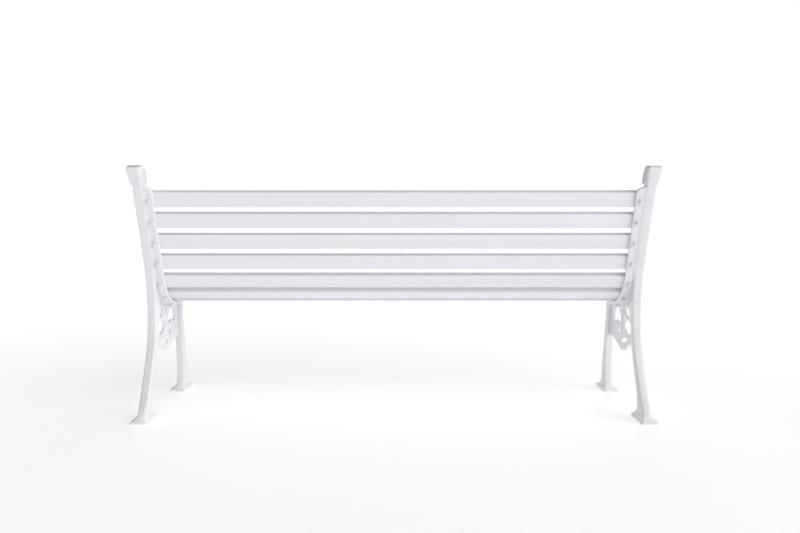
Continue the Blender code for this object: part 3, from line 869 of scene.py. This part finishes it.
class NodeBench:
    # Short hand for building one material's nodes
    def __init__(self, name):
        self.material = bpy.data.materials.new(name)
        self.material.use_nodes = True
        self.tree = self.material.node_tree
        self.shader = self.tree.nodes["Principled BSDF"]
        self.place = self.add("ShaderNodeTexCoord").outputs["Object"]

    def add(self, kind, inputs=None, **facts):
        node = self.tree.nodes.new(kind)
        for key, value in facts.items():
            setattr(node, key, value)
        for key, value in (inputs or {}).items():
            if isinstance(value, bpy.types.NodeSocket):
                self.tree.links.new(value, node.inputs[key])
            else:
                node.inputs[key].default_value = value
        return node

    def noise(self, scale, detail=4.0, roughness=0.5, stretch=None):
        place = self.place
        if stretch:
            place = self.add("ShaderNodeMapping", {"Vector": place, "Scale": stretch}).outputs[0]
        return self.add("ShaderNodeTexNoise", {"Vector": place, "Scale": scale, "Detail": detail,
                                               "Roughness": roughness}).outputs["Fac"]

    def ranged(self, value, low, high, start=0.3, stop=0.7):
        node = self.add("ShaderNodeMapRange", {"Value": value, "From Min": start, "From Max": stop,
                                               "To Min": low, "To Max": high})
        return node.outputs["Result"]

    def mixed(self, share, first, second):
        node = self.add("ShaderNodeMix", data_type="RGBA")
        sockets = (node.inputs["Factor"], node.inputs[6], node.inputs[7])
        for socket, value in zip(sockets, (share, first, second)):
            if isinstance(value, bpy.types.NodeSocket):
                self.tree.links.new(value, socket)
            elif isinstance(value, tuple):
                socket.default_value = (*value, 1)
            else:
                socket.default_value = value
        return node.outputs[2]

    def bumped(self, height, distance, before=None):
        inputs = {"Height": height, "Distance": distance, "Strength": 1.0}
        if before:
            inputs["Normal"] = before
        return self.add("ShaderNodeBump", inputs).outputs["Normal"]

    def into(self, **sockets):
        names = {"colour": "Base Color", "roughness": "Roughness", "normal": "Normal",
                 "coat": "Coat Weight", "coatRoughness": "Coat Roughness"}
        for key, value in sockets.items():
            socket = self.shader.inputs[names[key]]
            if isinstance(value, bpy.types.NodeSocket):
                self.tree.links.new(value, socket)
            else:
                socket.default_value = value


# Thick gloss paint over a sand casting: painted shade greys the hollows and a painted highlight
# lightens the edges, with the sand's texture and the paint's orange peel in its bump
def makeCastPaint():
    work = NodeBench("castPaint")
    edge = work.add("ShaderNodeAttribute", attribute_name="standingOut").outputs["Fac"]
    # painted shade: hollows greyed by how far they sink in, with random clouds of the same grey
    hollowShade = work.ranged(edge, 1.0, 0.0, -0.55, -0.05)
    cloud = work.ranged(work.noise(22.0), 0.0, 0.16)
    share = work.add("ShaderNodeMath", {0: hollowShade, 1: cloud}, operation="MAXIMUM").outputs[0]
    colour = work.mixed(share, castPaint["colour"], castPaint["hollowShade"])
    # painted highlight on edges that stand out
    colour = work.mixed(work.ranged(edge, 0.0, 0.8, 0.1, 0.6), colour, castPaint["edge"])
    roughness = work.ranged(work.noise(35.0, 3.0), *castPaint["roughness"])
    normal = work.bumped(work.noise(castPaint["peel"], 2.0), castPaint["peelDepth"])
    normal = work.bumped(work.noise(castPaint["sand"], 5.0, 0.6), castPaint["sandDepth"], normal)
    work.into(colour=colour, roughness=roughness, normal=normal,
              coat=castPaint["coat"], coatRoughness=castPaint["coatRoughness"])
    return work.material


# Satin paint over planed wood: the grain is noise drawn out along the slat
def makeSlatPaint():
    work = NodeBench("slatPaint")
    fine = work.noise(1.0, 3.0, 0.55, slatPaint["grain"])
    broad = work.noise(1.0, 2.0, 0.5, (0.8, 60.0, 60.0))
    streak = work.add("ShaderNodeMath", {0: fine, 1: broad}, operation="MULTIPLY").outputs[0]
    colour = work.mixed(work.ranged(streak, 0.0, 1.0, 0.16, 0.36), slatPaint["colour"], slatPaint["streak"])
    roughness = work.ranged(work.noise(slatPaint["cloud"], 3.0), *slatPaint["roughness"])
    normal = work.bumped(fine, slatPaint["grainDepth"])
    normal = work.bumped(work.noise(300.0, 2.0), 0.00004, normal)
    work.into(colour=colour, roughness=roughness, normal=normal,
              coat=slatPaint["coat"], coatRoughness=slatPaint["coatRoughness"])
    return work.material


# The casting's paint on steel, greyer in random spots
def makeBoltPaint():
    work = NodeBench("boltPaint")
    # random spots turn the paint grey
    greySpot = work.ranged(work.noise(boltPaint["spots"], 3.0, 0.6), 0.0, 0.8, 0.60, 0.70)
    colour = work.mixed(greySpot, boltPaint["colour"], boltPaint["greySpot"])
    roughness = work.ranged(work.noise(250.0, 3.0), *boltPaint["roughness"])
    normal = work.bumped(work.noise(500.0, 3.0), boltPaint["bump"])
    work.into(colour=colour, roughness=roughness, normal=normal)
    return work.material


for group, material in ((castings, makeCastPaint()), (slats, makeSlatPaint()), (fasteners, makeBoltPaint())):
    for piece in group:
        piece.data.materials.clear()
        piece.data.materials.append(material)
print("paints on")


# Floor, light and camera

studio = {
    "floor": (0.55, 0.55, 0.555),
    "floorHalf": 60.0,
    "floorGlow": (0.59, 0.80),    # beside the bench and far away
    "glowFrom": (0.9, 4.5),       # metres from the bench
    "sky": 1.0,            # as the camera sees it
    "skyLight": (0.0, 0.52),     # from the sitter's left to the right
    "skySide": (-0.86, 0.25, 0.45),
    "sun": 1.32,
    "sunSide": (-0.68, 0.60, 0.45),
    "sunAngle": radians(50),
    # area lights: place, target, power and width
    "key": ((-2.2, 2.2, 1.5), (-0.5, 0.1, 0.4), 4.5, 1.4),
    "fill": ((-1.0, -3.4, 1.9), (0.0, 0.0, 0.4), 24, 2.4),
    "lens": 35.13,
    "distance": 2.33,      # camera behind the heels of the rear feet
    "height": 0.648,
    "shift": (0.0069, -0.0731),
}


def makeFloor():
    half = studio["floorHalf"]
    side = np.linspace(-half, half, 41)
    x, y = np.meshgrid(side, side, indexing="ij")
    points = np.stack([x, y, np.full_like(x, -0.0003)], -1).reshape(-1, 3)
    i = (np.arange(40) * 41)[:, None] + np.arange(40)[None, :]
    quads = np.stack([i, i + 41, i + 42, i + 1], -1).reshape(-1, 4)
    obj = skinObject("floor", (points, quads, np.zeros((0, 3), int)))
    work = NodeBench("floorPaint")
    cloud = work.ranged(work.noise(1.3, 3.0), 0.97, 1.0)
    colour = work.mixed(cloud, (0.52, 0.52, 0.525), studio["floor"])
    work.into(colour=colour, roughness=0.8)
    # the floor glows more with its distance from the bench, so that it meets the white sky
    out = work.add("ShaderNodeVectorMath", {0: work.place}, operation="LENGTH").outputs["Value"]
    glow = work.ranged(out, *studio["floorGlow"], *studio["glowFrom"])
    work.shader.inputs["Emission Color"].default_value = (1, 1, 1, 1)
    work.tree.links.new(glow, work.shader.inputs["Emission Strength"])
    obj.data.materials.append(work.material)
    return obj


def makeSky():
    world = bpy.data.worlds.new("studio")
    bpy.context.scene.world = world
    world.use_nodes = True
    nodes, links = world.node_tree.nodes, world.node_tree.links
    sky = nodes["Background"]
    sky.inputs["Color"].default_value = (1.0, 1.0, 1.0, 1)
    facing = nodes.new("ShaderNodeVectorMath")
    facing.operation = "DOT_PRODUCT"
    facing.inputs[1].default_value = studio["skySide"]
    links.new(nodes.new("ShaderNodeTexCoord").outputs["Generated"], facing.inputs[0])
    light = nodes.new("ShaderNodeMapRange")
    light.inputs["From Min"].default_value = -1
    light.inputs["To Min"].default_value, light.inputs["To Max"].default_value = studio["skyLight"]
    links.new(facing.outputs["Value"], light.inputs["Value"])
    strength = nodes.new("ShaderNodeMix")
    strength.inputs[3].default_value = studio["sky"]
    links.new(nodes.new("ShaderNodeLightPath").outputs["Is Camera Ray"], strength.inputs[0])
    links.new(light.outputs["Result"], strength.inputs[2])
    links.new(strength.outputs[0], sky.inputs["Strength"])


def makeLight(name, kind, place, target, power, **facts):
    data = bpy.data.lights.new(name, kind)
    data.energy = power
    for key, value in facts.items():
        setattr(data, key, value)
    obj = bpy.data.objects.new(name, data)
    bpy.context.scene.collection.objects.link(obj)
    obj.location = place
    away = obj.location - type(obj.location)(target)
    obj.rotation_euler = away.to_track_quat("Z", "Y").to_euler()


makeFloor()
makeSky()
makeLight("sun", "SUN", studio["sunSide"], (0, 0, 0), studio["sun"], angle=studio["sunAngle"])
for name in ("key", "fill"):
    place, target, power, width = studio[name]
    makeLight(name, "AREA", place, target, power, shape="SQUARE", size=width)

camera = bpy.data.objects.new("camera", bpy.data.cameras.new("camera"))
bpy.context.scene.collection.objects.link(camera)
camera.data.sensor_width = 36.0
camera.data.lens = studio["lens"]
camera.data.shift_x, camera.data.shift_y = studio["shift"]
camera.location = (0.0, midY + studio["distance"], studio["height"])
camera.rotation_euler = (pi / 2, 0, pi)
bpy.context.scene.camera = camera
bpy.context.scene.view_settings.view_transform = "Standard"
print("studio set")
